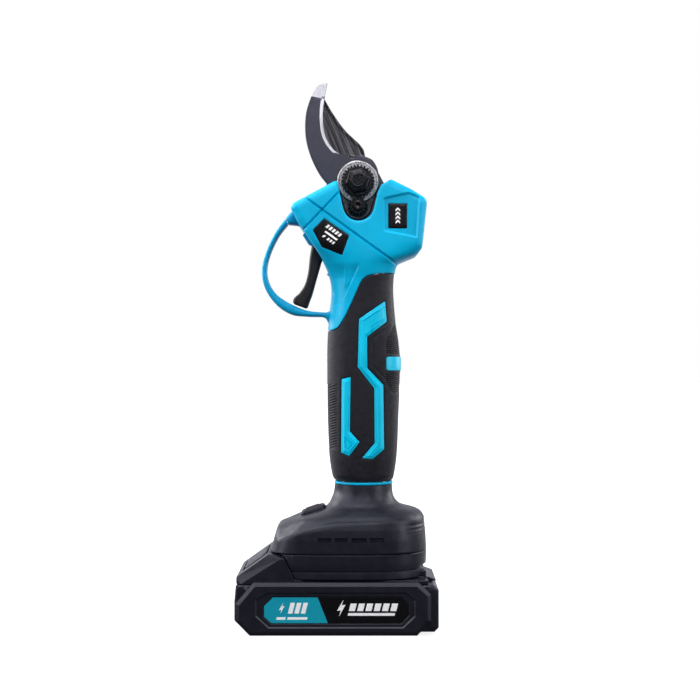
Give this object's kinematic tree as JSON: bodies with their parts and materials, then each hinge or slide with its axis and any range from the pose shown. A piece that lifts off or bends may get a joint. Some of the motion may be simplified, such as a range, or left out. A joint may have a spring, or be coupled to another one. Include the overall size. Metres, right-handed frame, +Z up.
{
  "type": "battery electric pruner",
  "caption": "Battery electric pruner: a fixed hooked blade and a geared cutting blade on a straight handle, with a trigger in a guard and a slide-on battery foot.",
  "frame": {"origin": "middle of the battery's underside, where the tool stands", "axes": "+Z up along the handle towards the blades, +X from the trigger side to the back of the hand, +Y through the thickness, away from the side with the blade nut"},
  "size_m": [0.114, 0.074, 0.3126],
  "materials": {
    "teal_plastic": "fine moulded texture",
    "guard_plastic": "fine moulded texture",
    "grip_rubber": "soft-touch moulded rubber",
    "foot_plastic": "fine spark texture",
    "trigger_plastic": "satin",
    "battery_plastic": "fine spark texture",
    "button_red": "satin, with a red power symbol",
    "hook_steel": "grey coating, with a bare ground edge",
    "blade_steel": "dark coating, with a bare ground edge",
    "case_alloy": "dark coated casting",
    "black_steel": "black oxide",
    "bright_steel": "ground",
    "motor_windings": "enamelled copper on a steel core",
    "circuit_board": "solder mask",
    "cell_sleeve": "shrink sleeve"
  },
  "bodies": {
    "tool": {"battery_adapter": "foot_plastic", "blade_nut": "black_steel", "button_bezel": "foot_plastic", "case_screw_1": "bright_steel", "case_screw_2": "bright_steel", "collar_ring": "teal_plastic", "controller_board": "circuit_board", "fixed_blade": "hook_steel", "foot_cover": "foot_plastic", "front_case_plate": "case_alloy", "front_shaft_bearing": "bright_steel", "gearbox_plate": "bright_steel", "gearbox_ring": "bright_steel", "grip_rubber_front": "grip_rubber", "grip_rubber_rear": "grip_rubber", "hook_screw_1": "bright_steel", "hook_screw_2": "bright_steel", "housing_front": "teal_plastic", "housing_rear": "teal_plastic", "housing_screw_1": "black_steel", "housing_screw_2": "black_steel", "housing_screw_3": "black_steel", "housing_screw_4": "black_steel", "housing_screw_5": "black_steel", "lock_gear": "black_steel", "lock_screw": "black_steel", "motor_can": "bright_steel", "motor_end_bell": "bright_steel", "motor_face": "bright_steel", "output_bearing": "bright_steel", "pivot_bolt": "black_steel", "pivot_washer": "bright_steel", "rear_case_plate": "case_alloy", "rear_shaft_bearing": "bright_steel", "stator_core": "motor_windings", "terminal_block": "foot_plastic", "trigger_guard": "guard_plastic", "trigger_pin": "bright_steel", "trigger_sensor_board": "circuit_board", "trigger_spring": "bright_steel"},
    "cutting_blade": {"moving_blade": "blade_steel"},
    "cross_shaft": {"pinion_shaft": "bright_steel", "bevel_gear": "bright_steel"},
    "carrier": {"planet_carrier": "bright_steel", "bevel_pinion": "bright_steel"},
    "planet_1": {"planet_gear_1": "bright_steel"},
    "planet_2": {"planet_gear_2": "bright_steel"},
    "planet_3": {"planet_gear_3": "bright_steel"},
    "rotor": {"motor_rotor": "bright_steel"},
    "trigger_lever": {"trigger": "trigger_plastic"},
    "power_key": {"power_button": "button_red"},
    "battery": {"battery_tub": "battery_plastic", "battery_top": "battery_plastic", "battery_board": "circuit_board", "battery_cell_1": "cell_sleeve", "battery_cell_2": "cell_sleeve", "battery_cell_3": "cell_sleeve", "battery_cell_4": "cell_sleeve", "battery_cell_5": "cell_sleeve"},
    "latch": {"latch_button": "battery_plastic"}
  },
  "joints": [
    {"name": "blade_swing", "type": "hinge", "parent": "tool", "child": "cutting_blade", "pos_m": [0.012, 0, 0.255], "axis": [0, 1, 0], "range_deg": [0, 50]},
    {"name": "cross_spin", "type": "hinge", "parent": "tool", "child": "cross_shaft", "pos_m": [0.0154, 0, 0.22721], "axis": [0, 1, 0], "range_deg": [-125.1, 0]},
    {"name": "carrier_spin", "type": "hinge", "parent": "tool", "child": "carrier", "pos_m": [0.0154, 0, 0.1946], "axis": [0, 0, 1], "range_deg": [-312.6, 0]},
    {"name": "rotor_spin", "type": "hinge", "parent": "tool", "child": "rotor", "pos_m": [0.0154, 0, 0.16], "axis": [0, 0, 1], "range_deg": [-2083.43, 0]},
    {"name": "planet_1_spin", "type": "hinge", "parent": "carrier", "child": "planet_1", "pos_m": [0.0154, -0.00705, 0.1872], "axis": [0, 0, 1], "range_deg": [0, 759.03]},
    {"name": "planet_2_spin", "type": "hinge", "parent": "carrier", "child": "planet_2", "pos_m": [0.00929, 0.00352, 0.1872], "axis": [0, 0, 1], "range_deg": [0, 759.03]},
    {"name": "planet_3_spin", "type": "hinge", "parent": "carrier", "child": "planet_3", "pos_m": [0.0215, 0.00352, 0.1872], "axis": [0, 0, 1], "range_deg": [0, 759.03]},
    {"name": "trigger_pull", "type": "hinge", "parent": "tool", "child": "trigger_lever", "pos_m": [-0.007, 0, 0.2186], "axis": [0, -1, 0], "range_deg": [0, 12], "stiffness_Nm_per_rad": 0.3, "springref_deg": -11.46},
    {"name": "power_press", "type": "slide", "parent": "tool", "child": "power_key", "axis": [0.3237, 0, -0.9462], "range_m": [0, 0.0008], "stiffness_N_per_m": 800, "springref_m": -0.001},
    {"name": "battery_slide", "type": "slide", "parent": "tool", "child": "battery", "axis": [-1, 0, 0], "range_m": [0, 0.09]},
    {"name": "latch_press", "type": "slide", "parent": "battery", "child": "latch", "axis": [0.5786, 0, -0.8156], "range_m": [0, 0.0018], "stiffness_N_per_m": 1200, "springref_m": -0.001}
  ],
  "couplings": [
    {"joint": "cross_spin", "follows": "blade_swing", "ratio": -2.5},
    {"joint": "carrier_spin", "follows": "blade_swing", "ratio": -6.25},
    {"joint": "rotor_spin", "follows": "blade_swing", "ratio": -41.667},
    {"joint": "planet_1_spin", "follows": "blade_swing", "ratio": 15.179},
    {"joint": "planet_2_spin", "follows": "blade_swing", "ratio": 15.179},
    {"joint": "planet_3_spin", "follows": "blade_swing", "ratio": 15.179}
  ]
}
